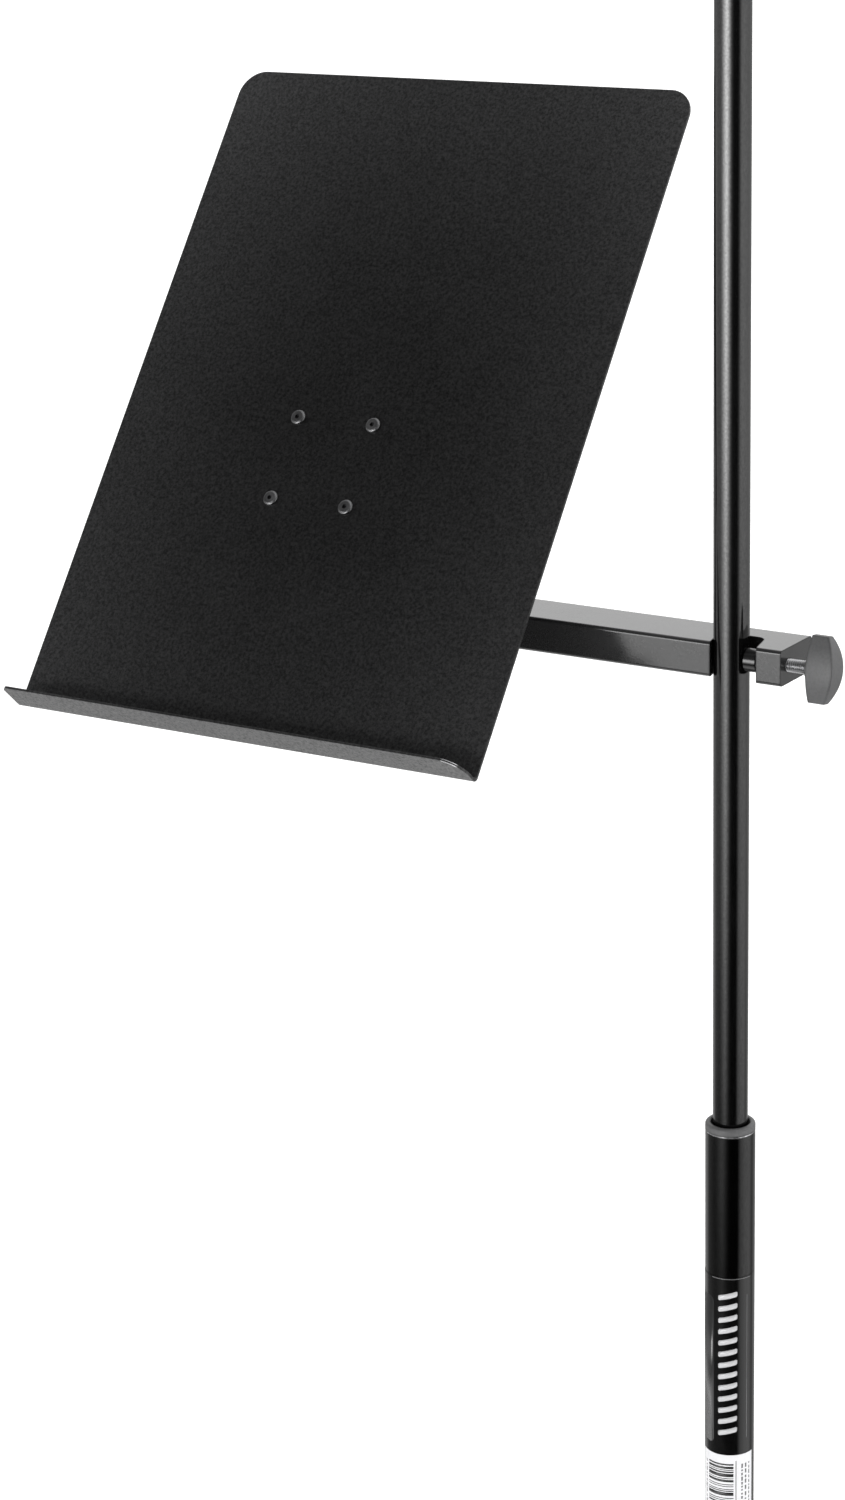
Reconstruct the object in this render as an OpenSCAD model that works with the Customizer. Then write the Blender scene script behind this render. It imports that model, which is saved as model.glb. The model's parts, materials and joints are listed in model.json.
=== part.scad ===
// Music stand: a sheet-metal desk on a clamp arm, held on a telescoping upright with a round base.
// The origin is at the middle of the underside of the base. +Z runs up the upright, +X along the
// arm towards its clamp knob, and the reader sits on the -Y side.

/* [Base] */
// Diameter of the round cast base
base_d = 254; // [220:2:300]
// Thickness of the casting at its rim
base_rim_h = 9; // [7:0.5:12]
// Thickness of the pad under the casting
base_pad_h = 2; // [1:0.5:4]

/* [Upright] */
// Outer diameter of the lower tube
lower_d = 22.8; // [22.4:0.1:24]
// Wall of the lower tube
lower_wall = 1.2; // [1.1:0.05:1.3]
// Height of the joint between the lower tube and the clutch sleeve
clutch_z = 758.6; // [700:0.1:790]
// Length of the clutch sleeve
clutch_len = 69.4; // [66:0.1:80]
// Outer diameter of the upper tube
upper_d = 15.875; // [15.8:0.005:15.9]
// Wall of the upper tube
upper_wall = 1; // [0.8:0.1:1.5]
// Overall height of the stand as drawn
stand_h = 1400; // [1350:5:1500]
// Length of the upper tube
upper_len = 825; // [800:5:840]

/* [Arm] */
// Height of the middle of the arm
arm_z = 1050; // [1000:5:1100]
// Depth of the arm tube, front to back
arm_depth = 30; // [28:0.5:34]
// Height of the arm tube
arm_h = 16; // [15:0.5:20]
// Distance from the upright's axis to the arm's front face
arm_front = 8; // [7.5:0.1:8.5]
// Distance from the upright's axis to the end of the arm at the clamp
arm_right = 27.7; // [26.5:0.1:29]
// Distance from the upright's axis to the end of the arm at the desk
arm_left = 180; // [170:1:190]

/* [Clamp] */
// Width of the mouth of the clamp notch right of the upright's axis
notch_right = 15.9; // [15.6:0.1:16.2]
// Depth of the clamp notch from the arm's front face
notch_depth = 17; // [16.5:0.1:18]
// Sideways lean of the notch walls, for each millimetre of depth
notch_lean = 0.225; // [0.15:0.005:0.25]
// Diameter of the clamp and tilt screws
screw_d = 6; // [6:0.5:6.5]
// Diameter of the pressure pad
pad_d = 10.4; // [9:0.1:11]
// Length of a wing knob across its tips
knob_len = 29.6; // [26:0.1:34]

/* [Desk] */
// Width of the desk
desk_w = 250; // [230:1:300]
// Length of the desk from the bend to its top edge
desk_len = 340; // [300:1:380]
// Thickness of the sheet
sheet = 1.2; // [1:0.1:1.5]
// Height of the lip
lip_len = 19; // [17:0.5:30]
// Angle between the desk and its lip
lip_angle = 82.7; // [75:0.1:90]
// Angle of the desk above the horizontal
desk_tilt = 53.4; // [45:0.1:70]
// Distance from the upright's axis to the near edge of the desk
desk_gap = 79.5; // [70:0.5:90]
// Distance from the tilt axis to the front of the desk
desk_standoff = 47.4; // [43:0.1:52]
// Distance from the tilt axis down the desk to the bend
bend_drop = 91.4; // [82:0.1:100]
// Radius of the desk's top corners
corner_r = 12.7; // [8:0.1:20]
// Radius of the lip's free corner on the side of the upright
lip_near_r = 12.7; // [4:0.1:12.8]
// Radius of the lip's free corner on the far side
lip_far_r = 3; // [1:0.1:12]
// Spacing of the rivets, both ways
rivet_pitch = 41.5; // [36:0.5:44]
// Distance of the rivet square's centre above the bend
rivet_rise = 139; // [135:0.5:145]
// Distance of the rivet square's centre from the desk's far edge
rivet_inset = 119; // [115:0.5:125]

/* [Hidden] */
$fn = 64;
eps = 0.01;
free_gap = 0.3;      // between pieces that move past each other
run_gap = 0.06;      // radial, in running fits

lower_r = lower_d / 2;
lower_ri = lower_r - lower_wall;
upper_r = upper_d / 2;
upper_ri = upper_r - upper_wall;

// Base, from the floor up
base_r = base_d / 2;
base_under = base_pad_h;                  // underside of the casting
rim_top = base_under + base_rim_h;
crown_h = 4;                              // rise of the casting from its rim to the hub
hub_top = rim_top + 13;                   // where the lower tube stands
hub_r = 20;
pad_inset = 8;                            // the pad is this much smaller than the casting
recess_r = 17;                            // pocket for the nut
recess_top = base_under + 11;
stud_r = 7.9;                             // threads at the base and at the top
plug_h = 24;                              // of the foot plug, inside the lower tube
ferrule_h = 10.5;                         // of the foot ferrule, outside it
washer_t = 1.5;
nut_h = 7;
nut_r = 13.8;                             // to its corners

// Clutch, from the joint up
sleeve_top = clutch_z + clutch_len;
sleeve_ri = 9.9;
ferrule_r = sleeve_ri - run_gap;
ferrule_top = clutch_z + 41.5;
ferrule_len = 25;                         // inside the lower tube
seam = 0.2;                               // between pieces that meet end to end
collet_h = 13.5;
collet_foot_r = 9.5;
collet_tip_r = 8.8;
collet_slit = 1;
collet_ring_h = 3;                        // unslit part
collar_h = 3.6;
collar_bore_r = 8.9;
collar_edge = 1.3;
collar_skirt = 12;                        // reach of the collar bush down inside the sleeve

// Upper tube
stud_len = 15;
stud_plug = 20;                           // reach of the top stud down inside the tube
stud_neck = 1.5;                          // undercut below its thread
stud_neck_r = 6.9;
stud_chamfer = 1;
upper_top = stand_h - stud_len;
upper_bottom = upper_top - upper_len;
bush_h = 24;
clip_r = 8.9;
clip_h = 1.2;
cap_r = 9.2;
cap_h = 3;
cap_plug = 12;

// Arm and clamp notch
arm_back = arm_depth - arm_front;
arm_y = arm_back - arm_depth / 2;         // middle of the arm, and the tilt axis
arm_wall = 1.5;
arm_edge = 1.6;
insert_edge = 0.5;
insert_left = -30;                        // end of the clamp insert inside the arm
tilt_insert_end = 40 - arm_left;          // end of the tilt insert inside the arm
tilt_bore_end = tilt_insert_end - 12;
wall_slope = sqrt(1 + notch_lean * notch_lean);
seat_c = -(upper_r + 0.2) * wall_slope;   // where the seat wall crosses the upright's plane
mouth_c = notch_right - notch_lean * arm_front;
notch_back = notch_depth - arm_front;
notch_r = 5;

// Clamp screw and pad, along the arm
screw_r = screw_d / 2;
pad_face = upper_r + 0.2;
pad_t = 5.5;
pad_floor = 0.8;                          // between the screw's tip and the upright
pad_pocket_r = 5.7;                       // the pad draws back into the insert
pad_pocket_end = 16.3;
tip_r = 2.4;
knob_start = arm_right + 7.2;
knob_bore = 9;                            // length of screw inside a knob
knob_mid = 16;                            // length of a knob along its screw
knob_tip = 11.8;                           // the same, at its tips
knob_half = 6;                            // half thickness at the middle
knob_edge = 2;                            // half thickness at the tips
knob_hub_r = 5.2;
knob_hub = [2.4, 5];                      // start and end of the hub
knob_foot = [3, 3.7];                     // start of the blade, at the hub and at its tips
knob_lean = 8;

// Desk, in a frame whose origin is on the tilt axis, +Y up the desk and +Z out of its front
desk_right = -desk_gap;
desk_left = desk_right - desk_w;
desk_mid = (desk_left + desk_right) / 2;
desk_front = desk_standoff;
desk_back = desk_front - sheet;
bend_y = -bend_drop;
bend_r = 2.6;
lip_flat = lip_len - bend_r * tan(90 - lip_angle / 2);
rivet_x = desk_left + rivet_inset;
rivet_y = bend_y + rivet_rise;
rivet_r = 2;
rivet_head_r = 3.8;
rivet_head_h = 1.6;
rivet_dimple_r = 1.1;
rivet_tail_r = 3;
rivet_tail_h = 1.2;

// Tilt bracket
bracket_t = 2.5;
bracket_margin = 8;                       // flange beyond the rivets
friction_t = 1;
friction_r = 7.8;
tilt_washer_r = 7;
ear_x = -arm_left - friction_t - free_gap - bracket_t;
flange_left = rivet_x - rivet_pitch / 2 - bracket_margin;
flange_low = rivet_y - rivet_pitch / 2 - bracket_margin;
flange_high = rivet_y + rivet_pitch / 2 + bracket_margin;
flange_back = desk_back - bracket_t;
ear_r = 14;
tilt_washer_x = ear_x - washer_t;
tilt_knob_x = tilt_washer_x + knob_hub[0];

// Labels on the lower tube
label_t = 0.12;
label_arc = 180;
label_turn = -180;
label_low = clutch_z - 90.5;
code_h = 62;

// Points on an arc from angle a to angle b
function arc(cx, cy, r, a, b, n) =
    [for (i = [0:n]) [cx + r * cos(a + (b - a) * i / n), cy + r * sin(a + (b - a) * i / n)]];

// Where the line from point p touches the circle at the origin, on the given side of it
function touch(p, r, side) =
    let (a = atan2(p[1], p[0]) + side * acos(r / norm(p)))
    [r * cos(a), r * sin(a)];

// Ring around the Z axis
module ring(r_out, r_in, low, high) {
    translate([0, 0, low])
        difference() {
            cylinder(r = r_out, h = high - low);
            translate([0, 0, -1]) cylinder(r = r_in, h = high - low + 2);
        }
}

// Cylinder along X at the height and depth of an arm screw
module rod_x(r, x0, x1, y = 0) {
    translate([x0, y, arm_z]) rotate([0, 90, 0]) cylinder(r = r, h = x1 - x0);
}

// Moves children from the desk's frame to the stand's
module on_desk() {
    translate([0, arm_y, arm_z]) rotate([desk_tilt, 0, 0]) children();
}

// Rectangle with rounded corners, centred
module round_rect(w, h, r) {
    square([w - 2 * r, h], center = true);
    square([w, h - 2 * r], center = true);
    for (x = [-1, 1], y = [-1, 1])
        translate([x * (w / 2 - r), y * (h / 2 - r)]) circle(r = r, $fn = 32);
}

// ---- Base ----

module base_pad() {
    color("#1c1c1c") cylinder(r = base_r - pad_inset, h = base_pad_h, $fn = 128);
}

module base_casting() {
    hub_foot = rim_top + crown_h;
    outline = concat(
        [[stud_r + 0.1, recess_top], [recess_r, recess_top], [recess_r, base_under]],
        arc(base_r - 1.5, base_under + 1.5, 1.5, -90, 0, 4),
        arc(base_r - 4, rim_top - 4, 4, 0, 80, 6),
        [[hub_r + 40, rim_top + crown_h * 0.75], [hub_r + 8, hub_foot]],
        arc(hub_r + 8, hub_foot + 6, 6, 270, 190, 6),
        arc(hub_r - 2, hub_top - 2, 2, 10, 90, 4),
        [[stud_r + 0.1, hub_top]]
    );
    color("#202020") rotate_extrude($fn = 128) polygon(outline);
}

module base_washer() {
    color("silver") ring(14.5, stud_r + 0.3, recess_top - washer_t, recess_top);
}

module base_nut() {
    nut_top = recess_top - washer_t;
    color("silver")
        difference() {
            translate([0, 0, nut_top - nut_h]) cylinder(r = nut_r, h = nut_h, $fn = 6);
            translate([0, 0, nut_top - nut_h - 1]) cylinder(r = stud_r, h = nut_h + 2);
        }
}

// Plug pressed into the foot of the lower tube, with the stud that goes through the casting
module foot_plug() {
    color("silver") {
        translate([0, 0, hub_top]) cylinder(r = lower_ri, h = plug_h);
        translate([0, 0, base_under + 1]) cylinder(r = stud_r, h = hub_top - base_under);
    }
}

module foot_ferrule() {
    outline = concat(
        [[lower_r, hub_top], [lower_r + 5, hub_top]],
        arc(lower_r + 2.5, hub_top + ferrule_h - 2.5, 2.5, 0, 90, 6),
        [[lower_r, hub_top + ferrule_h]]
    );
    color("#2a2a2a") rotate_extrude() polygon(outline);
}

// ---- Lower tube and clutch ----

module lower_tube() {
    color("#111111") ring(lower_r, lower_ri, hub_top, clutch_z - seam);
}

// Thin printed film wrapped part of the way round the lower tube
module wrap(low, high) {
    translate([0, 0, low])
        rotate([0, 0, label_turn])
            rotate_extrude(angle = label_arc, $fn = 96)
                translate([lower_r, 0]) square([label_t, high - low]);
}

module tube_label() {
    color("#151515") wrap(label_low, clutch_z - 3 * seam);
}

module code_label() {
    color("white") wrap(label_low - code_h, label_low - seam);
}

// Pressed into the lower tube, and the fixed half of the clutch above it
module clutch_ferrule() {
    bottom = clutch_z - ferrule_len;
    color("silver")
        difference() {
            union() {
                translate([0, 0, bottom]) cylinder(r = lower_ri, h = ferrule_len - seam);
                translate([0, 0, bottom]) cylinder(r = ferrule_r, h = ferrule_top - bottom);
            }
            translate([0, 0, bottom - 1]) cylinder(r = upper_r + run_gap, h = ferrule_top - bottom + 2);
        }
}

// Slit jaw that the sleeve squeezes onto the upper tube
module clutch_collet() {
    bottom = ferrule_top + free_gap;
    color("#d8d8d0")
        difference() {
            translate([0, 0, bottom]) cylinder(r1 = collet_foot_r, r2 = collet_tip_r, h = collet_h);
            translate([0, 0, bottom - 1]) cylinder(r = upper_r + run_gap, h = collet_h + 2);
            for (a = [0, 90])
                rotate([0, 0, a])
                    translate([-lower_r, -collet_slit / 2, bottom + collet_ring_h])
                        cube([lower_d, collet_slit, collet_h]);
        }
}

module clutch_sleeve() {
    color("#0c0c0c") ring(lower_r, sleeve_ri, clutch_z, sleeve_top);
}

module collar_bush() {
    top = sleeve_top + collar_h;
    outline = concat(
        [[collar_bore_r, sleeve_top - collar_skirt], [sleeve_ri, sleeve_top - collar_skirt],
         [sleeve_ri, sleeve_top], [lower_r, sleeve_top]],
        arc(lower_r - collar_edge, top - collar_edge, collar_edge, 0, 90, 6),
        [[collar_bore_r + 0.4, top], [collar_bore_r, top - 0.4]]
    );
    color("#5a5a5a") rotate_extrude() polygon(outline);
}

// ---- Upper tube ----

module guide_bush() {
    color("#d8d8d0")
        ring(lower_ri - run_gap, upper_r + run_gap, upper_bottom + seam, upper_bottom + bush_h);
}

module bush_clip() {
    low = upper_bottom + bush_h + seam;
    color("silver") ring(clip_r, upper_r, low, low + clip_h);
}

module tail_cap() {
    color("#2a2a2a") {
        translate([0, 0, upper_bottom - cap_h]) cylinder(r = cap_r, h = cap_h);
        translate([0, 0, upper_bottom - 1]) cylinder(r = upper_ri, h = cap_plug + 1);
    }
}

module upper_tube() {
    color("#111111") ring(upper_r, upper_ri, upper_bottom, upper_top);
}

module top_stud() {
    outline = [
        [0, upper_top - stud_plug], [upper_ri, upper_top - stud_plug], [upper_ri, upper_top],
        [stud_neck_r, upper_top], [stud_neck_r, upper_top + stud_neck],
        [stud_r, upper_top + stud_neck], [stud_r, stand_h - stud_chamfer],
        [stud_r - stud_chamfer, stand_h], [0, stand_h]
    ];
    color("silver") rotate_extrude() polygon(outline);
}

// ---- Arm ----

// Outline of the clamp notch, seen from above: both walls lean towards the desk as they go back,
// so the tightened screw draws the upright into the corner
module notch() {
    y0 = notch_back - notch_r;
    lean = atan(notch_lean);
    seat_x = seat_c - notch_lean * y0 + notch_r * wall_slope;
    mouth_x = mouth_c - notch_lean * y0 - notch_r * wall_slope;
    mouth_y = -arm_front - 2;
    polygon(concat(
        [[mouth_c - notch_lean * mouth_y, mouth_y]],
        arc(mouth_x, y0, notch_r, lean, 90, 8),
        arc(seat_x, y0, notch_r, 90, 180 + lean, 8),
        [[seat_c - notch_lean * mouth_y, mouth_y]]
    ));
}

module notch_cut() {
    translate([0, 0, arm_z - arm_h]) linear_extrude(2 * arm_h) notch();
}

// Bar along the arm, shrunk from the arm's outer size by a margin on each side
module arm_bar(x0, x1, margin, edge) {
    translate([x0, arm_y, arm_z])
        rotate([90, 0, 90])
            linear_extrude(x1 - x0) round_rect(arm_depth - 2 * margin, arm_h - 2 * margin, edge);
}

module arm_tube() {
    color("#1a1a1a")
        difference() {
            arm_bar(-arm_left, arm_right, 0, arm_edge);
            arm_bar(-arm_left - 1, arm_right - arm_wall, arm_wall, insert_edge);
            notch_cut();
            rod_x(screw_r + run_gap, arm_right - 5, arm_right + 1);
        }
}

module clamp_insert() {
    color("#303030")
        difference() {
            arm_bar(insert_left, arm_right - arm_wall, arm_wall, insert_edge);
            notch_cut();
            rod_x(pad_pocket_r, 0, pad_pocket_end);
            rod_x(screw_r + run_gap, 0, arm_right);
        }
}

module tilt_insert() {
    color("#303030")
        difference() {
            arm_bar(-arm_left, tilt_insert_end, arm_wall, insert_edge);
            rod_x(screw_r + run_gap, -arm_left - 1, tilt_bore_end, arm_y);
        }
}

module friction_washer() {
    color("#8a2f1d")
        difference() {
            rod_x(friction_r, -arm_left - friction_t, -arm_left, arm_y);
            rod_x(screw_r + free_gap, -arm_left - 3, -arm_left + 1, arm_y);
        }
}

// ---- Clamp ----

module pressure_pad() {
    color("#141414")
        difference() {
            rod_x(pad_d / 2, pad_face, pad_face + pad_t);
            rod_x(tip_r + run_gap, pad_face + pad_floor, pad_face + pad_t + 1);
        }
}

// Screw with a reduced tip, from x0 to x1
module screw(x0, x1, tip, y = 0) {
    rod_x(screw_r, x0 + tip, x1, y);
    rod_x(tip_r, x0, x0 + tip + eps, y);
}

module clamp_screw() {
    color("silver") screw(pad_face + pad_floor + seam, knob_start + knob_bore, pad_t - pad_floor);
}

// Wing knob on the +X side of the origin, with its screw along X: a blade that is thick in the
// middle and thin at its tips, domed at its outer end, on a short hub
module wing_knob() {
    half = knob_len / 2;
    side_r = (half * half + pow(knob_half - knob_edge, 2)) / (2 * (knob_half - knob_edge));
    dome = knob_mid - knob_tip;
    dome_r = (half * half + dome * dome) / (2 * dome);
    difference() {
        union() {
            intersection() {
                blade_section(side_r, half);
                rotate([90, 0, 0])
                    linear_extrude(4 * knob_half, center = true)
                        intersection() {
                            translate([knob_mid - dome_r, 0]) circle(r = dome_r, $fn = 160);
                            polygon([
                                [knob_foot[0], -knob_hub_r], [knob_foot[1], -half],
                                [knob_mid, -half], [knob_mid, half],
                                [knob_foot[1], half], [knob_foot[0], knob_hub_r]
                            ]);
                        }
            }
            translate([knob_hub[0], 0, 0])
                rotate([0, 90, 0]) cylinder(r = knob_hub_r, h = knob_hub[1] - knob_hub[0]);
        }
        translate([-1, 0, 0]) rotate([0, 90, 0]) cylinder(r = screw_r, h = knob_bore + 1);
    }
}

// Blade's cross-section, drawn along X: where two large circles overlap
module blade_section(side_r, half) {
    rotate([0, 90, 0])
        linear_extrude(knob_mid)
            intersection() {
                translate([0, knob_half - side_r]) circle(r = side_r, $fn = 160);
                translate([0, side_r - knob_half]) circle(r = side_r, $fn = 160);
                square([2 * half, 4 * knob_half], center = true);
            }
}

module clamp_knob() {
    color("#3c3c3c") translate([knob_start, 0, arm_z]) rotate([-knob_lean, 0, 0]) wing_knob();
}

// ---- Desk ----

// Section through the desk, its bend and its lip, with +X up the desk and +Y out of its front
function desk_section() =
    let (
        c = [bend_y + bend_r, desk_back + bend_r],
        end = 90 + lip_angle,
        across = [cos(end), sin(end)],
        tip = c + lip_flat * [cos(lip_angle), sin(lip_angle)]
    )
    concat(
        [[bend_y + desk_len, desk_back]],
        arc(c[0], c[1], bend_r, 270, end, 8),
        [tip + bend_r * across, tip + (bend_r - sheet) * across],
        arc(c[0], c[1], bend_r - sheet, end, 270, 8),
        [[bend_y + desk_len, desk_front]]
    );

// What is cut away outside a rounded corner whose arc is centred on the origin; side is -1 on the
// left and 1 on the right
module corner_cut(r, side) {
    mirror([side < 0 ? 1 : 0, 0, 0])
        linear_extrude(8 * sheet, center = true)
            difference() {
                square(r + 2);
                circle(r = r);
            }
}

// Holes or bars at the four rivets
module at_rivets() {
    for (x = [-1, 1], y = [-1, 1])
        translate([rivet_x + x * rivet_pitch / 2, rivet_y + y * rivet_pitch / 2, 0]) children();
}

module desk_panel() {
    color("#262626")
        on_desk()
            difference() {
                translate([desk_left, 0, 0])
                    rotate([90, 0, 90]) linear_extrude(desk_w) polygon(desk_section());
                at_rivets() translate([0, 0, desk_back - 1]) cylinder(r = rivet_r, h = sheet + 2);
                for (side = [-1, 1])
                    translate([
                        desk_mid + side * (desk_w / 2 - corner_r),
                        bend_y + desk_len - corner_r,
                        desk_front
                    ])
                        corner_cut(corner_r, side);
                translate([0, bend_y + bend_r, desk_back + bend_r])
                    rotate([lip_angle, 0, 0]) {
                        translate([desk_left + lip_far_r, lip_flat - lip_far_r, bend_r])
                            corner_cut(lip_far_r, -1);
                        translate([desk_right - lip_near_r, lip_flat - lip_near_r, bend_r])
                            corner_cut(lip_near_r, 1);
                    }
            }
}

module desk_rivets() {
    color("#303030")
        on_desk()
            at_rivets()
                rotate_extrude($fn = 32)
                    polygon(concat(
                        [[0, flange_back - rivet_tail_h], [rivet_tail_r, flange_back - rivet_tail_h],
                         [rivet_tail_r, flange_back], [rivet_r, flange_back],
                         [rivet_r, desk_front], [rivet_head_r, desk_front]],
                        arc(rivet_head_r - 1.3, desk_front + rivet_head_h - 1.3, 1.3, 0, 80, 4),
                        [[rivet_dimple_r, desk_front + rivet_head_h],
                         [rivet_dimple_r, desk_front + 0.5], [0, desk_front + 0.5]]
                    ));
}

module tilt_bracket() {
    low = [flange_low, desk_back];
    high = [flange_high, desk_back];
    color("#1a1a1a")
        on_desk()
            difference() {
                union() {
                    translate([flange_left, flange_low, flange_back])
                        cube([ear_x + bracket_t - flange_left, flange_high - flange_low, bracket_t]);
                    translate([ear_x, 0, 0])
                        rotate([90, 0, 90])
                            linear_extrude(bracket_t) {
                                circle(r = ear_r);
                                polygon([
                                    [0, 0], touch(low, ear_r, 1), low, high, touch(high, ear_r, -1)
                                ]);
                            }
                }
                at_rivets() translate([0, 0, flange_back - 1]) cylinder(r = rivet_r, h = bracket_t + 2);
                translate([ear_x - 1, 0, 0])
                    rotate([0, 90, 0]) cylinder(r = screw_r + run_gap, h = bracket_t + 2);
            }
}

// ---- Tilt lock ----

module tilt_washer() {
    color("silver")
        difference() {
            rod_x(tilt_washer_r, tilt_washer_x, ear_x, arm_y);
            rod_x(screw_r + free_gap, tilt_washer_x - 1, ear_x + 1, arm_y);
        }
}

module tilt_screw() {
    color("silver") rod_x(screw_r, tilt_knob_x - knob_bore, tilt_bore_end - 2, arm_y);
}

module tilt_knob() {
    color("#3c3c3c") translate([tilt_knob_x, arm_y, arm_z]) rotate([0, 0, 180]) wing_knob();
}

base_pad();
base_casting();
base_nut();
base_washer();
foot_plug();
foot_ferrule();
lower_tube();
tube_label();
code_label();
clutch_ferrule();
clutch_collet();
clutch_sleeve();
collar_bush();
guide_bush();
bush_clip();
tail_cap();
upper_tube();
top_stud();
arm_tube();
clamp_insert();
tilt_insert();
friction_washer();
pressure_pad();
clamp_screw();
clamp_knob();
tilt_bracket();
desk_rivets();
desk_panel();
tilt_washer();
tilt_screw();
tilt_knob();
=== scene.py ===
"""Looks of the music stand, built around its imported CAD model. Metres, +Z up, reader at -Y."""
import json
import math
import random

import bmesh
import bpy
from mathutils import Matrix, Vector


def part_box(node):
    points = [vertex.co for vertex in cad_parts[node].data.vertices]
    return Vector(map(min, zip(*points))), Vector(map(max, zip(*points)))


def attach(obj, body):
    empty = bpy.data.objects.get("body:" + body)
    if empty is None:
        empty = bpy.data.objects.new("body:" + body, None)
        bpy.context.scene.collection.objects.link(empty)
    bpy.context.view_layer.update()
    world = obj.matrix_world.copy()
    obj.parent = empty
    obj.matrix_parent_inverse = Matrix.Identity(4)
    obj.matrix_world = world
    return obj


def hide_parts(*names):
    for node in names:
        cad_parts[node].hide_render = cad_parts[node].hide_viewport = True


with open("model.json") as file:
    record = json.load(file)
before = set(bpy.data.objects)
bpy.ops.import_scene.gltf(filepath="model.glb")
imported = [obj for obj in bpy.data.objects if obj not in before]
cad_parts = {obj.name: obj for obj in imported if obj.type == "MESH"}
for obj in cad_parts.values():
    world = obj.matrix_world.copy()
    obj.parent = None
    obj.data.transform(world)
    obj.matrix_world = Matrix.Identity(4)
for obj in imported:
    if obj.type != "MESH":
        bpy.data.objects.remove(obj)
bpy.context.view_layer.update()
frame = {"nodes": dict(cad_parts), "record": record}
NODES = frame["nodes"]
MM = 0.001
COAT_IOR = 1.5
scene = bpy.context.scene

# ---------------------------------------------------------------- measures taken from the frame


def middle(node):
    """Middle of a CAD node's box."""
    low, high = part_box(node)
    return (low + high) / 2


ARM = middle("arm_tube")
CLAMP_AXIS = Vector((0, 0, middle("clamp_screw").z))
TILT_AXIS = middle("tilt_screw")

# ---------------------------------------------------------------- camera


def make_camera():
    """A long lens where the photograph was taken from: on the right, turned to the desk, looking down."""
    data = bpy.data.cameras.new("camera")
    data.lens = 82.67
    data.sensor_width = 36
    data.clip_end = 100
    cam = bpy.data.objects.new("camera", data)
    scene.collection.objects.link(cam)
    heading, pitch, roll = (math.radians(a) for a in (32.81, 17.19, 1.44))
    turn = (
        Matrix.Rotation(heading, 4, "Z")
        @ Matrix.Rotation(math.pi / 2 - pitch, 4, "X")
        @ Matrix.Rotation(-roll, 4, "Z")
    )
    place = Vector((0.668, -1.2861, ARM.z + 0.4076))
    cam.matrix_world = Matrix.Translation(place) @ turn
    scene.camera = cam


# ---------------------------------------------------------------- node helpers


class Tree:
    """Short names for building a node tree."""

    def __init__(self, tree):
        self.tree = tree
        tree.nodes.clear()

    def add(self, kind, **settings):
        node = self.tree.nodes.new(kind)
        for key, value in settings.items():
            setattr(node, key, value)
        return node

    def link(self, a, b):
        self.tree.links.new(a, b)

    def feed(self, node, key, value):
        """Sets a socket, or links it if the value is another node's output."""
        if isinstance(value, bpy.types.NodeSocket):
            self.link(value, node.inputs[key])
        else:
            node.inputs[key].default_value = value

    def ramp(self, value, stops):
        """Grey by position, for stops of (position 0 to 1, level)."""
        node = self.add("ShaderNodeValToRGB")
        self.link(value, node.inputs[0])
        ends = node.color_ramp.elements
        while len(ends) < len(stops):
            ends.new(0.5)
        for end, (pos, level) in zip(ends, stops):
            end.position = pos
            end.color = (level, level, level, 1)
        return node.outputs[0]

    def math(self, op, a, b):
        node = self.add("ShaderNodeMath", operation=op)
        self.feed(node, 0, a)
        self.feed(node, 1, b)
        return node.outputs[0]


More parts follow.
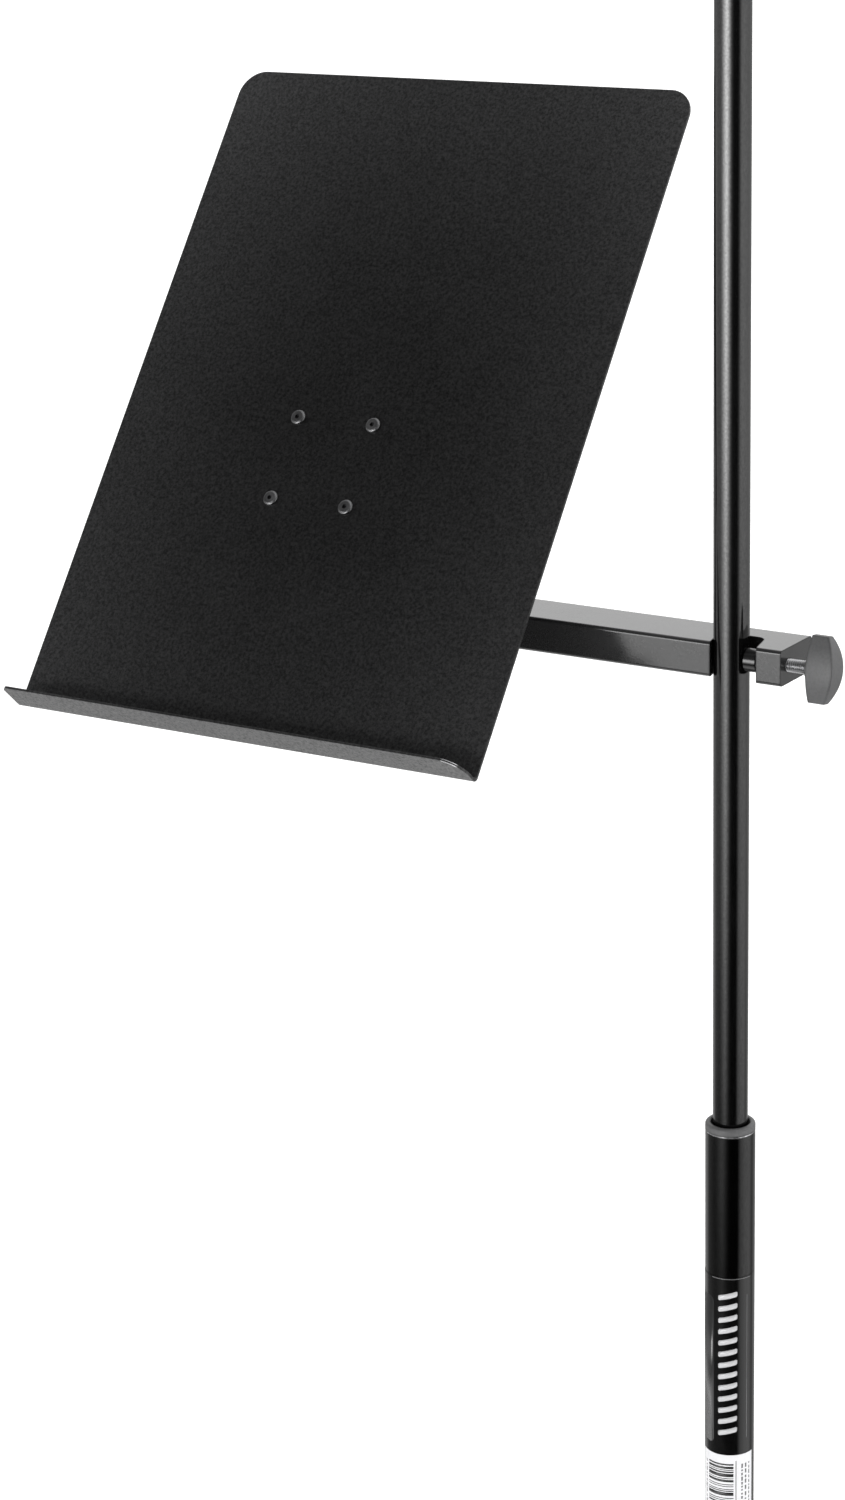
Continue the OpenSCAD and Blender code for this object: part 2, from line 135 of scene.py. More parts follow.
class Nodes(Tree):
    """One material's node tree, ending in a Principled shader. Its noise is fixed to the object."""

    def __init__(self, name):
        self.mat = bpy.data.materials.new(name)
        self.mat.use_nodes = True
        super().__init__(self.mat.node_tree)
        self.out = self.add("ShaderNodeOutputMaterial")
        self.bsdf = self.add("ShaderNodeBsdfPrincipled")
        self.link(self.bsdf.outputs[0], self.out.inputs[0])
        self.place = self.add("ShaderNodeTexCoord").outputs["Object"]

    def set(self, **values):
        """Values or node outputs for the shader's sockets, by their names with _ for spaces."""
        for key, value in values.items():
            self.feed(self.bsdf, key.replace("_", " "), value)

    def noise(self, scale, detail=4.0, rough=0.55, stretch=None):
        node = self.add("ShaderNodeTexNoise")
        node.inputs["Scale"].default_value = scale
        node.inputs["Detail"].default_value = detail
        node.inputs["Roughness"].default_value = rough
        place = self.place
        if stretch:
            mapping = self.add("ShaderNodeMapping")
            mapping.inputs["Scale"].default_value = stretch
            self.link(place, mapping.inputs["Vector"])
            place = mapping.outputs[0]
        self.link(place, node.inputs["Vector"])
        return node.outputs["Fac"]

    def cells(self, scale):
        node = self.add("ShaderNodeTexVoronoi")
        node.inputs["Scale"].default_value = scale
        self.link(self.place, node.inputs["Vector"])
        return node.outputs["Distance"]

    def mix(self, factor, a, b):
        node = self.add("ShaderNodeMix", data_type="RGBA")
        self.feed(node, 0, factor)
        self.feed(node, 6, a)
        self.feed(node, 7, b)
        return node.outputs[2]

    def rims(self, width):
        """1 next to sharp edges, fading to 0 at about a width from them."""
        soft = self.add("ShaderNodeBevel", samples=8)
        soft.inputs["Radius"].default_value = width
        turn = self.add("ShaderNodeVectorMath", operation="DOT_PRODUCT")
        self.link(soft.outputs[0], turn.inputs[0])
        self.link(self.add("ShaderNodeNewGeometry").outputs["Normal"], turn.inputs[1])
        return self.ramp(turn.outputs["Value"], [(0.92, 1.0), (1.0, 0.0)])

    def away_from(self, middle, reach):
        """Distance from a point in units of the reach along each axis; a reach of 0 drops that axis."""
        mapping = self.add("ShaderNodeMapping")
        mapping.inputs["Scale"].default_value = [1 / r if r else 0 for r in reach]
        mapping.inputs["Location"].default_value = [-m / r if r else 0 for m, r in zip(middle, reach)]
        self.link(self.place, mapping.inputs["Vector"])
        length = self.add("ShaderNodeVectorMath", operation="LENGTH")
        self.link(mapping.outputs[0], length.inputs[0])
        return length.outputs["Value"]

    def bump(self, height, strength, distance, under=None):
        node = self.add("ShaderNodeBump")
        node.inputs["Strength"].default_value = strength
        node.inputs["Distance"].default_value = distance
        self.link(height, node.inputs["Height"])
        if under:
            self.link(under, node.inputs["Normal"])
        return node.outputs[0]


def grey(level):
    return (level, level, level * 1.02, 1.0)


# ---------------------------------------------------------------- materials


def powder_coat():
    """Near-black textured powder coat of the desk.

    It has fine pebbles, is lightened towards its edges and corners by painted light, so that it is
    darkest around the middle, and is rubbed to bright metal on the rounded corner of the lip.
    """
    n = Nodes("desk_powder_coat")
    low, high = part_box("desk_panel")
    wide, tall = high.x - low.x, high.z - low.z
    # middle of the painted light, which lightens the coat from here out to its edges
    painted_light_middle = (low + high) / 2 + Vector((0.03 * wide, 0, -0.03 * tall))
    out = n.math("DIVIDE", n.away_from(painted_light_middle, (wide / 2, 0, tall / 2)), 1.6)
    pebble = n.noise(680, 6, 0.75)
    fine = n.noise(2400, 2, 0.6)
    blotch = n.noise(26, 4, 0.6)
    base = n.mix(n.ramp(blotch, [(0.35, 0.0), (0.7, 1.0)]), grey(0.0065), grey(0.01))
    # painted light: the coat grows lighter towards its edges and corners, darkest around the middle
    painted_edge_light = n.ramp(out, [(0.2, 0.0), (0.31, 0.06), (0.5, 0.25), (0.625, 0.44), (0.75, 0.64), (0.88, 1.0)])
    base = n.mix(painted_edge_light, base, grey(0.038))
    base = n.mix(n.ramp(pebble, [(0.4, 0.5), (0.62, 0.0)]), base, grey(0.001))
    rim = n.rims(0.9 * MM)
    base = n.mix(n.math("MULTIPLY", rim, 0.3), base, grey(0.05))
    lip_corner = Vector((high.x - 7 * MM, low.y + 3 * MM, low.z + 9.8 * MM))
    chip_reach = 4.4 * MM
    on_edge = n.ramp(rim, [(0.6, 0.0), (0.95, 1.0)])
    near_corner = n.ramp(n.away_from(lip_corner, [chip_reach] * 3), [(0.75, 1.0), (1.0, 0.0)])
    chip = n.math("MULTIPLY", on_edge, near_corner)
    base = n.mix(chip, base, grey(0.75))
    gleam = n.ramp(pebble, [(0.38, 0.1), (0.64, 0.5)])
    n.set(Base_Color=base, IOR=COAT_IOR, Metallic=chip, Specular_IOR_Level=gleam)
    n.set(Roughness=n.ramp(fine, [(0.3, 0.28), (0.7, 0.38)]))
    n.set(Normal=n.bump(pebble, 0.25, 0.0002, n.bump(fine, 0.2, 0.0001)))
    return n.mat


def satin_enamel():
    """Satin black enamel of the arm and the brackets, darker and duller along the edges, where its
    reflections are turned down as painted shade.
    """
    n = Nodes("arm_satin_enamel")
    peel = n.noise(900, 3, 0.6)
    haze = n.noise(60, 4, 0.6)
    rim = n.rims(1.1 * MM)
    base = n.mix(n.ramp(haze, [(0.3, 0.0), (0.75, 1.0)]), grey(0.013), grey(0.018))
    gleam = n.ramp(peel, [(0.3, 0.44), (0.7, 0.56)])
    # painted shade: reflections turned down along the edges, a dark outline on the rounded edges
    gleam = n.math("MULTIPLY", gleam, n.ramp(rim, [(0.0, 1.0), (1.0, 0.25)]))
    n.set(Base_Color=base, IOR=COAT_IOR, Specular_IOR_Level=gleam)
    n.set(Roughness=n.ramp(haze, [(0.3, 0.12), (0.8, 0.18)]))
    n.set(Normal=n.bump(peel, 0.1, 0.0001))
    return n.mat


def gloss_enamel(name="tube_gloss_enamel", rough=0.07, bare_from=None, tone=1.0, shine=1.0):
    """Gloss black enamel of the tubes, with faint drawing lines along them and fine scuffs.

    Sharp edges above the height bare_from have rubbed down to bright metal in places. tone scales
    the paint's own colour, and shine its reflections.
    """
    n = Nodes(name)
    peel = n.noise(420, 2, 0.5)
    dust = n.noise(1000, 3, 0.65)
    lines = n.noise(900, 2, 0.6, stretch=(1, 1, 0.01))
    scuff = n.noise(160, 6, 0.7, stretch=(1, 1, 0.2))
    base = n.mix(n.ramp(scuff, [(0.45, 0.0), (0.8, 1.0)]), grey(0.0012 * tone), grey(0.0035 * tone))
    base = n.mix(n.ramp(dust, [(0.6, 0.0), (0.8, 0.5)]), base, grey(0.012 * tone))
    if bare_from is not None:
        split = n.add("ShaderNodeSeparateXYZ")
        n.link(n.place, split.inputs[0])
        rim = n.rims(1.2 * MM)
        rubbed = n.math("MULTIPLY", rim, n.ramp(n.noise(330, 2), [(0.42, 0.1), (0.56, 1.0)]))
        bare = n.math("MULTIPLY", rubbed, n.math("GREATER_THAN", split.outputs[2], bare_from))
        base = n.mix(bare, base, grey(0.7))
        n.set(Metallic=bare)
    gleam = n.ramp(dust, [(0.3, 0.38 * shine), (0.7, 0.62 * shine)])
    n.set(Base_Color=base, IOR=COAT_IOR, Specular_IOR_Level=gleam)
    n.set(Roughness=n.ramp(scuff, [(0.35, rough), (0.85, rough + 0.08)]))
    n.set(Normal=n.bump(lines, 0.035, 0.0001, n.bump(peel, 0.05, 0.0002)))
    return n.mat


def moulded(name, level, rough=0.5, grain_scale=1500, grain=0.25, edge_shade_width=1.8 * MM):
    """Moulded plastic with a sparked texture and smoother edges, darkened along them by painted shade."""
    n = Nodes(name)
    spark = n.noise(grain_scale, 3, 0.6)
    speck = n.noise(850, 3, 0.65)
    flow = n.noise(90, 4, 0.55)
    base = n.mix(n.ramp(flow, [(0.3, 0.0), (0.75, 1.0)]), grey(level * 0.86), grey(level * 1.1))
    base = n.mix(n.ramp(speck, [(0.35, 0.45), (0.6, 0.0)]), base, grey(level * 0.6))
    # painted shade: darker along the edges, as the shadow in the gaps beside them and as dark outlines
    base = n.mix(n.math("MULTIPLY", n.rims(edge_shade_width), 0.85), base, grey(level * 0.2))
    n.set(Base_Color=base, IOR=COAT_IOR)
    n.set(Roughness=n.ramp(flow, [(0.3, rough - 0.05), (0.8, rough + 0.08)]))
    n.set(Normal=n.bump(spark, grain, 0.00012))
    return n.mat


def zinc(name="zinc_plate", level=0.62, rough=0.26):
    """Bright zinc plate with faint tool marks and dull patches, darkened in the grooves by painted shade.
    """
    n = Nodes(name)
    patch = n.noise(220, 4, 0.6)
    painted_groove_shade = n.ramp(n.add("ShaderNodeNewGeometry").outputs["Pointiness"], [(0.42, 1.0), (0.5, 0.0)])
    base = n.mix(n.ramp(patch, [(0.3, 0.0), (0.7, 1.0)]), grey(level * 0.72), grey(level))
    # painted shade: darker in the thread grooves and other hollows
    base = n.mix(painted_groove_shade, base, grey(level * 0.05))
    n.set(Base_Color=base, Metallic=1.0)
    n.set(Roughness=n.ramp(patch, [(0.3, rough), (0.75, rough + 0.16)]))
    n.set(Normal=n.bump(n.noise(1800, 2), 0.1, 0.00005))
    return n.mat


def cast_coat():
    """Powder coat over sand-cast iron."""
    n = Nodes("cast_base_coat")
    sand = n.noise(260, 5, 0.62)
    swirl = n.noise(18, 3, 0.5)
    base = n.mix(n.ramp(swirl, [(0.3, 0.0), (0.7, 1.0)]), grey(0.016), grey(0.024))
    base = n.mix(n.math("MULTIPLY", n.rims(1.5 * MM), 0.4), base, grey(0.05))
    n.set(Base_Color=base, IOR=COAT_IOR)
    n.set(Roughness=n.ramp(sand, [(0.3, 0.4), (0.75, 0.58)]))
    n.set(Normal=n.bump(sand, 0.4, 0.0006, n.bump(n.noise(1500, 2), 0.2, 0.0001)))
    return n.mat


def foam():
    """Closed-cell rubber of the base pad."""
    n = Nodes("foam_rubber")
    pores = n.cells(1400)
    base = n.mix(n.noise(70), grey(0.012), grey(0.022))
    n.set(Base_Color=base, Roughness=n.ramp(pores, [(0, 0.95), (1, 0.8)]))
    n.set(Normal=n.bump(pores, 0.5, 0.0002))
    return n.mat


def film(name, dark, light):
    """Printed label film: a thin clear gloss over its ink."""
    n = Nodes(name)
    mottle = n.noise(300, 4, 0.6)
    n.set(Base_Color=n.mix(mottle, grey(dark), grey(light)), IOR=COAT_IOR)
    n.set(Roughness=n.ramp(mottle, [(0.3, 0.09), (0.8, 0.16)]))
    n.set(Normal=n.bump(n.noise(240, 3), 0.06, 0.0002))
    return n.mat


def fibre():
    """Pressed red fibre of the friction washer."""
    n = Nodes("pressed_fibre")
    strand = n.noise(900, 5, 0.7, stretch=(1, 1, 0.2))
    n.set(Base_Color=n.mix(strand, (0.16, 0.03, 0.015, 1), (0.34, 0.09, 0.045, 1)))
    n.set(Roughness=n.ramp(strand, [(0.3, 0.7), (0.8, 0.9)]), Normal=n.bump(strand, 0.4, 0.0001))
    return n.mat


MAT = {
    "desk_black": powder_coat(),
    "arm_black": satin_enamel(),
    "tube_black": gloss_enamel(),
    "cast_base": cast_coat(),
    "rivet": zinc("rivet_black_zinc", 0.16, 0.3),
    "steel": zinc(level=0.42),
    "plastic_grey_dark": moulded("knob_plastic", 0.085, 0.5),
    "plastic_grey": moulded("collar_plastic", 0.1, 0.55, edge_shade_width=1.6 * MM),
    "plastic_black": moulded("black_plastic", 0.006, 0.16, 900, 0.06),
    "nylon": moulded("natural_nylon", 0.62, 0.5),
    "rubber": foam(),
    "fibre": fibre(),
    "label_dark": film("label_dark_film", 0.0018, 0.0035),
    "label_white": film("label_white_film", 0.74, 0.82),
}

# Nodes whose paint differs from that of their record slot
OWN_COAT = {
    "clutch_sleeve": gloss_enamel(
        "sleeve_enamel", 0.1, bare_from=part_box("clutch_sleeve")[1].z - 2 * MM, tone=0.2, shine=0.86
    ),
    "lower_tube": gloss_enamel("lower_tube_enamel", 0.1),
}

# ---------------------------------------------------------------- CAD nodes that stay


def round_edges(obj, width, segments=3, angle=40):
    """Rounds the edges that are sharper than an angle in degrees."""
    bevel = obj.modifiers.new("round", "BEVEL")
    bevel.width = width
    bevel.segments = segments
    bevel.limit_method = "ANGLE"
    bevel.angle_limit = math.radians(angle)
    bevel.harden_normals = True


def finish_cad_nodes():
    """Gives every CAD node its material, and some of them finely rounded edges (widths in mm)."""
    rounds = {
        "desk_panel": 0.35, "arm_tube": 0.25, "tilt_bracket": 0.4, "clutch_sleeve": 0.5,
        "collar_bush": 0.15, "upper_tube": 0.25, "lower_tube": 0.2, "base_pad": 0.6,
        "foot_ferrule": 0.4, "pressure_pad": 0.5, "tilt_washer": 0.3, "friction_washer": 0.2,
        "base_nut": 0.5, "base_washer": 0.3, "clamp_insert": 0.2,
    }
    for sub in frame["record"]["subparts"]:
        node = NODES[sub["node"]]
        material = OWN_COAT.get(sub["node"], MAT[sub["material_slot"]])
        for slot in node.material_slots:
            slot.material = material
        if sub["node"] in rounds:
            round_edges(node, rounds[sub["node"]] * MM)


# ---------------------------------------------------------------- mesh helpers


def new_piece(name, bm, body, slot, replaces=()):
    """Turns a bmesh into a piece that rides on a body and takes a record slot's material."""
    bmesh.ops.recalc_face_normals(bm, faces=bm.faces)
    mesh = bpy.data.meshes.new(name)
    bm.to_mesh(mesh)
    bm.free()
    for face in mesh.polygons:
        face.use_smooth = True
    mesh.materials.append(MAT[slot])
    obj = bpy.data.objects.new(name, mesh)
    scene.collection.objects.link(obj)
    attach(obj, body)
    if replaces:
        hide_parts(*replaces)
    return obj


def along_x(origin, turn=0.0, flip=False):
    """Matrix that lays a piece made along +Z down along +X, or -X if flipped, turned about itself."""
    side = -1 if flip else 1
    lay = Matrix.Rotation(side * math.pi / 2, 4, "Y")
    return Matrix.Translation(origin) @ lay @ Matrix.Rotation(turn, 4, "Z")


def circle(bm, radius_at, z, sides):
    """Ring of vertices about Z; radius_at gives the radius for a share of a turn."""
    ring = []
    for k in range(sides):
        angle = 2 * math.pi * k / sides
        r = radius_at(k / sides)
        ring.append(bm.verts.new((r * math.cos(angle), r * math.sin(angle), z)))
    return ring


def skin(bm, rings):
    """Faces between each ring of vertices and the next."""
    for a, b in zip(rings, rings[1:]):
        for k in range(len(a)):
            after = (k + 1) % len(a)
            bm.faces.new((a[k], a[after], b[after], b[k]))


def threaded_rod(major, pitch, z0, z1, sides=40, tip=None):
    """A right-hand screw thread along Z as a closed mesh, with a run-out at both ends.

    tip is (radius, length) of a plain reduced end below z0.
    """
    depth = 0.61 * pitch
    run_out, chamfer = 0.6 * pitch, 0.7 * pitch
    bm = bmesh.new()
    profile = [(0.0, 0.0), (0.12, 0.0), (0.5, 1.0), (0.62, 1.0)]
    steps = int((z1 - z0) / pitch * len(profile)) + 1

    def radius(z, turn):
        phase = ((z - z0) / pitch - turn) % 1.0
        level = 1.0
        for (a, la), (b, lb) in zip(profile, profile[1:] + [(1.0, 0.0)]):
            if a <= phase <= b:
                level = la + (lb - la) * (phase - a) / max(b - a, 1e-9)
        fade = min(1.0, (z - z0) / pitch, max(0.0, z1 - z) / run_out)
        cut = depth * level * max(0.0, fade)
        start = max(0.0, 1 - (z - z0) / chamfer) * depth
        return major - max(cut, start)

    heights = [z0 + (z1 - z0) * i / (steps * 2) for i in range(steps * 2 + 1)]
    rings = [circle(bm, lambda turn, z=z: radius(z, turn), z, sides) for z in heights]
    if tip:
        tip_r, tip_len = tip
        bevel = 0.4 * MM
        end = z0 - tip_len
        for r, z in ((tip_r, z0), (tip_r, end + bevel), (tip_r - bevel, end)):
            rings.insert(0, circle(bm, lambda turn, r=r: r, z, sides))
    skin(bm, rings)
    bm.faces.new(rings[0][::-1])
    bm.faces.new(rings[-1])
    return bm


# ---------------------------------------------------------------- screws and studs


SCREW_PITCH = 1.0 * MM
STUD_PITCH = 25.4 / 27 * MM  # 27 threads to the inch


def make_threads():
    """Real thread forms on the clamp screw, the tilt screw and the top stud.

    The clamp screw's end is plain as far as it sits in the pressure pad's socket.
    """
    low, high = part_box("clamp_screw")
    screw_r = (high.z - low.z) / 2
    tip_r, clear_of_pad = 2.4 * MM, 0.2 * MM
    thread_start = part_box("pressure_pad")[1].x + clear_of_pad
    bm = threaded_rod(screw_r, SCREW_PITCH, thread_start, high.x, tip=(tip_r, thread_start - low.x))
    bm.transform(along_x(CLAMP_AXIS))
    new_piece("clamp_screw_thread", bm, "clamp_screw", "steel", ("clamp_screw",))

    low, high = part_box("tilt_screw")
    bm = threaded_rod(screw_r, SCREW_PITCH, low.x, high.x)
    bm.transform(along_x(Vector((0, TILT_AXIS.y, TILT_AXIS.z))))
    new_piece("tilt_screw_thread", bm, "tilt_knob", "steel", ("tilt_screw",))

    low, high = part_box("top_stud")
    stud_r = (high.x - low.x) / 2
    neck, inside_tube = 1.5 * MM, 8 * MM
    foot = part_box("upper_tube")[1].z + neck
    bm = threaded_rod(stud_r, STUD_PITCH, foot, high.z, sides=72, tip=(stud_r - MM, neck + inside_tube))
    new_piece("top_stud_thread", bm, "upright", "steel", ("top_stud",))


# ---------------------------------------------------------------- knobs


KNOB_DEPTH = 16 * MM
KNOB_HUB = (5.2 * MM, 2.4 * MM, 5.0 * MM)  # radius, and where it starts and ends


def knob_mesh(half):
    """Wing knob about the +Z axis: a thick-waisted blade, domed at its outer end.

    X runs across the wings. Lines of points run up each side from the foot to the dome.
    """
    depth, tip_depth = KNOB_DEPTH, 11.8 * MM
    waist, edge = 6.0 * MM, 2.0 * MM
    pinch = 0.1  # how much thinner the blade is at its foot
    side_r = (half**2 + (waist - edge) ** 2) / (2 * (waist - edge))
    dome_r = (half**2 + (depth - tip_depth) ** 2) / (2 * (depth - tip_depth))
    bm = bmesh.new()
    across, up = 44, 16

    def thick(x):
        return math.sqrt(side_r**2 - x * x) - (side_r - waist)

    def top(x):
        return depth - dome_r + math.sqrt(dome_r**2 - x * x)

    def foot(x):
        return (3.0 + 0.7 * abs(x) / half) * MM

    sides = []
    for face in (-1, 1):
        lines = []
        for i in range(across + 1):
            x = -half + 2 * half * i / across
            low, high = foot(x), top(x)
            line = []
            for j in range(up + 1):
                y = face * thick(x) * (1 - pinch * (1 - j / up) ** 2)
                line.append(bm.verts.new((x, y, low + (high - low) * j / up)))
            lines.append(line)
        sides.append(lines)

    def bridge(row_a, row_b):
        for k in range(len(row_a) - 1):
            bm.faces.new((row_a[k], row_a[k + 1], row_b[k + 1], row_b[k]))

    front, back = sides
    for grid in sides:
        for a, b in zip(grid, grid[1:]):
            bridge(a, b)
    bridge([line[0] for line in front], [line[0] for line in back])
    bridge([line[-1] for line in front], [line[-1] for line in back])
    bridge(front[0], back[0])
    bridge(front[-1], back[-1])
    bmesh.ops.recalc_face_normals(bm, faces=bm.faces)
    return bm


def ring_mesh(outline, sides=64):
    """Closed surface of revolution about Z from the (radius, height) points of a closed outline."""
    bm = bmesh.new()
    rings = [circle(bm, lambda turn, r=r: r, z, sides) for r, z in outline]
    skin(bm, rings + rings[:1])
    return bm


def arc(cx, cy, r, start, end, steps):
    """Points on an arc, angles in degrees."""
    return [
        (
            cx + r * math.cos(math.radians(start + (end - start) * i / steps)),
            cy + r * math.sin(math.radians(start + (end - start) * i / steps)),
        )
        for i in range(steps + 1)
    ]


def make_knob(name, node, body, place, half):
    """A wing knob with its moulded hub, in place of its CAD node."""
    bm = knob_mesh(half)
    bm.transform(place)
    blade = new_piece(name, bm, body, "plastic_grey_dark", (node,))
    round_edges(blade, 0.8 * MM, segments=4, angle=35)
    hub_r, hub_low, hub_high = KNOB_HUB
    bore, edge = 3.05 * MM, 0.5 * MM
    outline = (
        [(bore, hub_low + 0.3 * MM), (bore + 0.3 * MM, hub_low)]
        + arc(hub_r - edge, hub_low + edge, edge, -90, 0, 4)
        + [(hub_r, hub_high), (bore, hub_high)]
    )
    hub = ring_mesh(outline)
    hub.transform(place)
    new_piece(name + "_hub", hub, body, "plastic_grey_dark")


def make_knobs():
    """The knob of the tilt screw, and the clamp's, whose wings lean as in the photograph."""
    lean = math.radians(8)
    low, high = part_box("tilt_knob")
    half = (high.z - low.z) / 2
    place = along_x(Vector((high.x + KNOB_HUB[1], TILT_AXIS.y, TILT_AXIS.z)), 0, True)
    make_knob("tilt_wing_knob", "tilt_knob", "tilt_knob", place, half)
    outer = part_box("clamp_knob")[1].x
    place = along_x(Vector((outer - KNOB_DEPTH, 0, CLAMP_AXIS.z)), -lean)
    make_knob("clamp_wing_knob", "clamp_knob", "clamp_screw", place, half)


# ---------------------------------------------------------------- labels


def ink(name, level):
    """Flat printing ink with slight mottling, under the film's gloss."""
    n = Nodes(name)
    mottle = n.noise(500, 3)
    n.set(Base_Color=n.mix(mottle, grey(level * 0.85), grey(level)), IOR=COAT_IOR)
    n.set(Roughness=n.ramp(mottle, [(0.3, 0.14), (0.8, 0.24)]), Normal=n.bump(mottle, 0.05, 0.0001))
    return n.mat


def print_patch(bm, radius, a0, a1, z0, z1, slant=0.0, corner=0.0):
    """A thin printed shape on the tube: angles in degrees, heights in metres.

    slant shears it upwards across its width, and corner rounds its ends.
    """
    steps = max(2, int(abs(a1 - a0) / 2.5))
    lift = 0.02 * MM
    columns = []
    for i in range(steps + 1):
        t = i / steps
        angle = math.radians(a0 + (a1 - a0) * t)
        near = min(t, 1 - t) * math.radians(abs(a1 - a0)) * radius
        cut = corner - math.sqrt(max(0.0, corner**2 - (corner - near) ** 2)) if near < corner else 0.0
        shift = slant * (t - 0.5)
        columns.append([
            bm.verts.new((r * math.cos(angle), r * math.sin(angle), z + shift))
            for r, z in (
                (radius, z0 + cut), (radius + lift, z0 + cut), (radius + lift, z1 - cut), (radius, z1 - cut)
            )
        ])
    for a, b in zip(columns, columns[1:]):
        for k in range(4):
            bm.faces.new((a[k], b[k], b[(k + 1) % 4], a[(k + 1) % 4]))
    bm.faces.new(columns[0])
    bm.faces.new(columns[-1][::-1])


def make_prints():
    """Plain generic graphics on both labels: a panel, a ladder of slanted bars, lines and stripes.

    Bearings round the tube are in degrees, from +X towards -Y when negative.
    """
    low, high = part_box("tube_label")
    radius = -low.y
    panel, ladder, lines = bmesh.new(), bmesh.new(), bmesh.new()
    print_patch(panel, radius, -176, -101.6, high.z - 84.6 * MM, high.z - 10.2 * MM, corner=2.2 * MM)
    rungs, first, pitch, bar = 13, 7.5 * MM, 5.75 * MM, 2.6 * MM
    for i in range(rungs):
        z = high.z - first - i * pitch
        print_patch(ladder, radius, -90, -45, z - bar, z, slant=2.4 * MM, corner=0.5 * MM)
    print_patch(lines, radius, -107, -10, high.z - 0.45 * MM, high.z - 0.1 * MM)
    print_patch(lines, radius, -20.6, -19, high.z - 82 * MM, high.z - 9 * MM)

    low_code, high_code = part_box("code_label")
    foot = low_code.z + 5 * MM
    stripes, faint = bmesh.new(), bmesh.new()
    rng = random.Random(7)

    def stack(bm, a0, a1, margin, heights, gaps):
        """Bars of random heights and gaps in mm, from a margin below the label's top down to its foot."""
        z = high_code.z - margin
        while z > foot:
            tall = rng.choice(heights) * MM
            print_patch(bm, radius, a0, a1, z - tall, z)
            z -= tall + rng.choice(gaps) * MM

    stack(stripes, -117, -53, 4.5 * MM, (0.4, 0.5, 0.8, 1.2, 1.7), (0.45, 0.6, 0.8, 1.1))
    print_patch(stripes, radius, -48, -46.2, low_code.z + 4 * MM, high_code.z - 3 * MM)
    for column, wide in ((-128, 3.6), (-34, 4.5), (-24, 4.5), (-13, 3.4)):
        stack(faint, column, column + wide, 5 * MM, (0.9, 1.4, 2.2), (0.6, 0.8, 1.1))
    for name, bm, slot, material in (
        ("label_panel", panel, "label_dark", ink("ink_mid_grey", 0.03)),
        ("label_ladder", ladder, "label_white", ink("ink_light_grey", 0.55)),
        ("label_lines", lines, "label_white", ink("ink_thin_grey", 0.12)),
        ("code_stripes", stripes, "label_dark", ink("ink_dark_grey", 0.012)),
        ("code_dashes", faint, "label_dark", ink("ink_soft_grey", 0.17)),
    ):
        piece = new_piece(name, bm, "base", slot)
        piece.data.materials[0] = material


# ---------------------------------------------------------------- stage


def make_floor():
    """White paper, just below the pad so that the two don't coincide when seen from below."""
    drop = 0.2 * MM
    bpy.ops.mesh.primitive_plane_add(size=80, location=(0, 0, -drop))
    floor = bpy.context.object
    floor.name = "floor"
    n = Nodes("floor_paper")
    fleck = n.noise(3, 2)
    n.set(Base_Color=n.mix(fleck, (0.92, 0.92, 0.92, 1), (0.94, 0.94, 0.94, 1)), Roughness=0.9)
    n.set(Emission_Color=(1, 1, 1, 1), Emission_Strength=0.35)
    floor.data.materials.append(n.mat)
    floor.visible_glossy = False


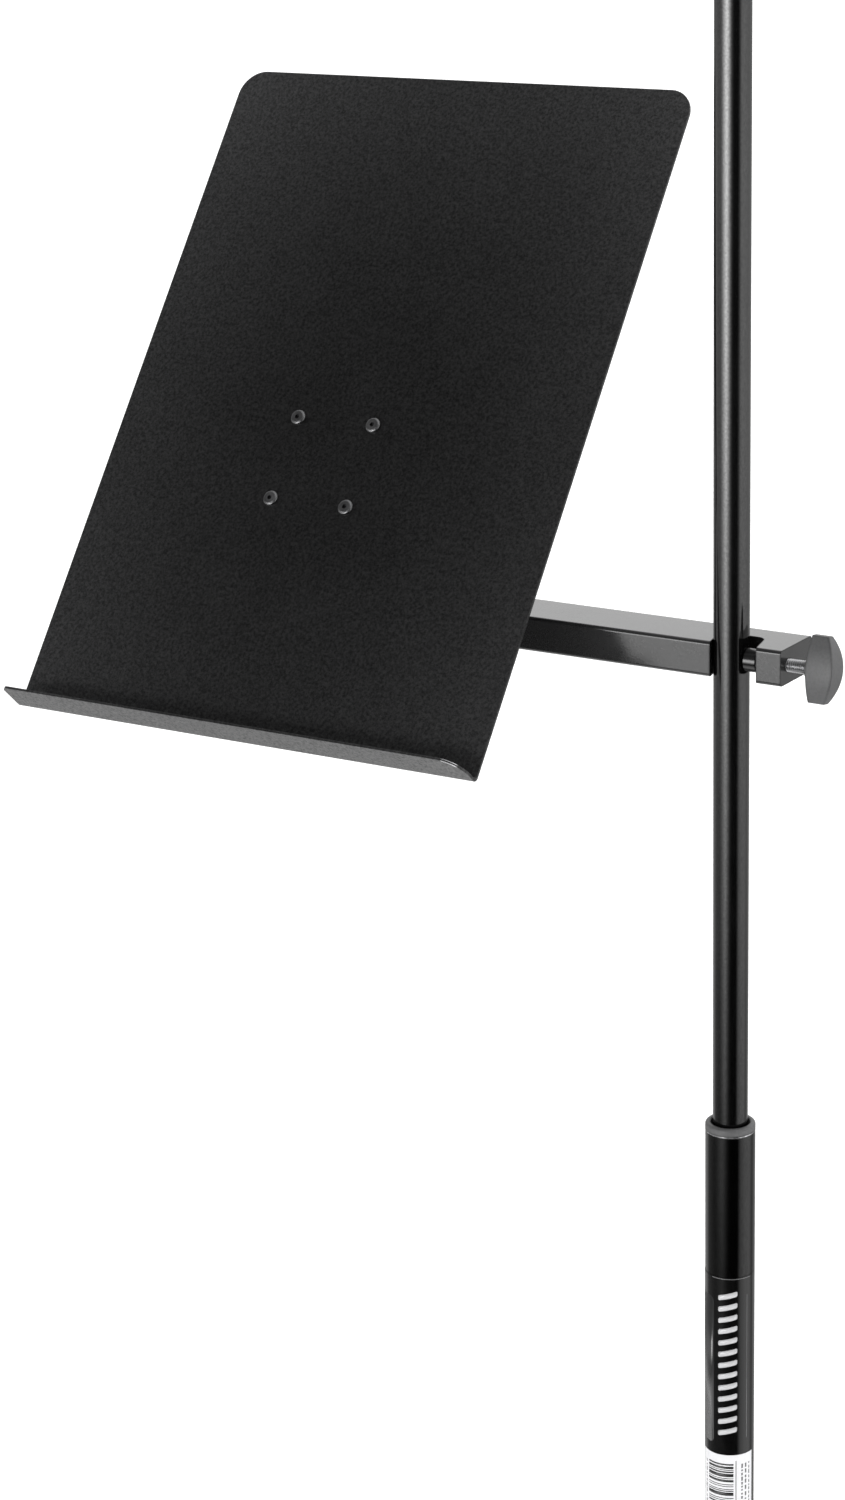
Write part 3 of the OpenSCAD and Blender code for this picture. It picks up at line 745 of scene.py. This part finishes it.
def make_lights():
    """Soft studio light, all of it in the world: a tall soft box ahead of the stand to the left, a
    white wall to the right, black flags between them, a bright wall behind and a white ceiling.

    Bearings are in degrees: 0 towards -Y, rising towards +X. Elevations are above the horizon.
    """
    world = bpy.data.worlds.new("studio")
    scene.world = world
    world.use_nodes = True
    sky = Tree(world.node_tree)

    def blend(factor, a, b):
        kept = sky.math("MULTIPLY", a, sky.math("SUBTRACT", 1.0, factor))
        return sky.math("ADD", kept, sky.math("MULTIPLY", b, factor))

    split = sky.add("ShaderNodeSeparateXYZ")
    sky.link(sky.add("ShaderNodeTexCoord").outputs["Generated"], split.inputs[0])
    x, y, z = split.outputs
    turn = sky.math("ARCTAN2", x, sky.math("MULTIPLY", y, -1.0))
    bearing = sky.math("ADD", sky.math("DIVIDE", turn, 2 * math.pi), 0.5)
    rise = sky.math("ADD", sky.math("MULTIPLY", z, 0.5), 0.5)

    def brightness(place, stops):
        """A ramp that may go above 1."""
        peak = max(level for _, level in stops)
        return sky.math("MULTIPLY", sky.ramp(place, [(at, level / peak) for at, level in stops]), peak)

    def by_bearing(stops):
        return brightness(bearing, [((angle + 180) / 360, level) for angle, level in stops])

    def by_rise(stops):
        return brightness(rise, [((math.sin(math.radians(e)) + 1) / 2, level) for e, level in stops])

    eye_level = by_bearing([
        (-180, 0.5), (-147, 0.4), (-104, 0.45), (-91, 0.85), (-70, 0.95), (-50, 1.3), (-40, 1.5),
        (-22, 0.06), (60, 0.06), (70, 0.6), (76, 1.6), (84, 2.3), (98, 2.35), (120, 1.8),
        (141, 1.15), (165, 0.6), (180, 0.5),
    ])
    low = by_bearing([
        (-180, 0.5), (-122, 0.6), (-107, 0.8), (-97, 0.65), (-88, 0.32), (-60, 0.22), (-36, 0.13),
        (5, 0.01), (62, 0.01), (68, 0.35), (78, 1.0), (100, 1.4), (125, 1.15), (139, 0.5),
        (148, 0.3), (170, 0.5), (180, 0.5),
    ])
    high = by_bearing([
        (-180, 1.5), (-125, 1.3), (-100, 0.5), (-80, 0.05), (55, 0.05), (75, 1.3), (110, 1.6), (180, 1.5),
    ])
    high = sky.math("ADD", high, by_rise([(36, 0.2), (42, 0.02), (47, 0.12), (60, 0.3)]))
    box = by_bearing([
        (-48, 0.0), (-38.3, 1.6), (-31, 4.6), (-24.3, 7.4), (-17.6, 10.4), (-11, 11.8), (-4.7, 10.7),
        (1.6, 7.3), (7.9, 4.5), (14, 1.9), (20, 0.7), (27, 0.15), (36, 0.0),
    ])
    box_rise = by_rise([
        (-27, 0.0), (-25.4, 0.03), (-23.9, 0.06), (-22.3, 0.13), (-20.7, 0.2), (-19.1, 0.29),
        (-16.7, 0.41), (-13.9, 0.62), (-10.8, 1.0), (-5.6, 1.25), (6, 1.2), (14, 0.0),
    ])
    walls = blend(by_rise([(-24, 0.0), (-12, 1.0)]), low, eye_level)
    walls = blend(by_rise([(-2, 0.0), (12, 1.0)]), walls, high)
    around = sky.math("ADD", walls, sky.math("MULTIPLY", box, box_rise))
    ground, ceiling = 1.6, 1.4
    level = blend(by_rise([(-52, 1.0), (-35, 0.0)]), around, ground)
    level = blend(by_rise([(66, 0.0), (80, 1.0)]), level, ceiling)

    camera_ray = sky.add("ShaderNodeLightPath").outputs["Is Camera Ray"]
    seen = sky.add("ShaderNodeBackground")
    seen.inputs["Color"].default_value = (1, 1, 1, 1)
    seen.inputs["Strength"].default_value = 1.15
    felt = sky.add("ShaderNodeBackground")
    sky.link(level, felt.inputs["Color"])
    mixer = sky.add("ShaderNodeMixShader")
    sky.link(camera_ray, mixer.inputs[0])
    sky.link(felt.outputs[0], mixer.inputs[1])
    sky.link(seen.outputs[0], mixer.inputs[2])
    sky.link(mixer.outputs[0], sky.add("ShaderNodeOutputWorld").inputs[0])


# ---------------------------------------------------------------- the scene

make_camera()
finish_cad_nodes()
make_threads()
make_knobs()
make_prints()
make_floor()
make_lights()
scene.view_settings.view_transform = "Standard"
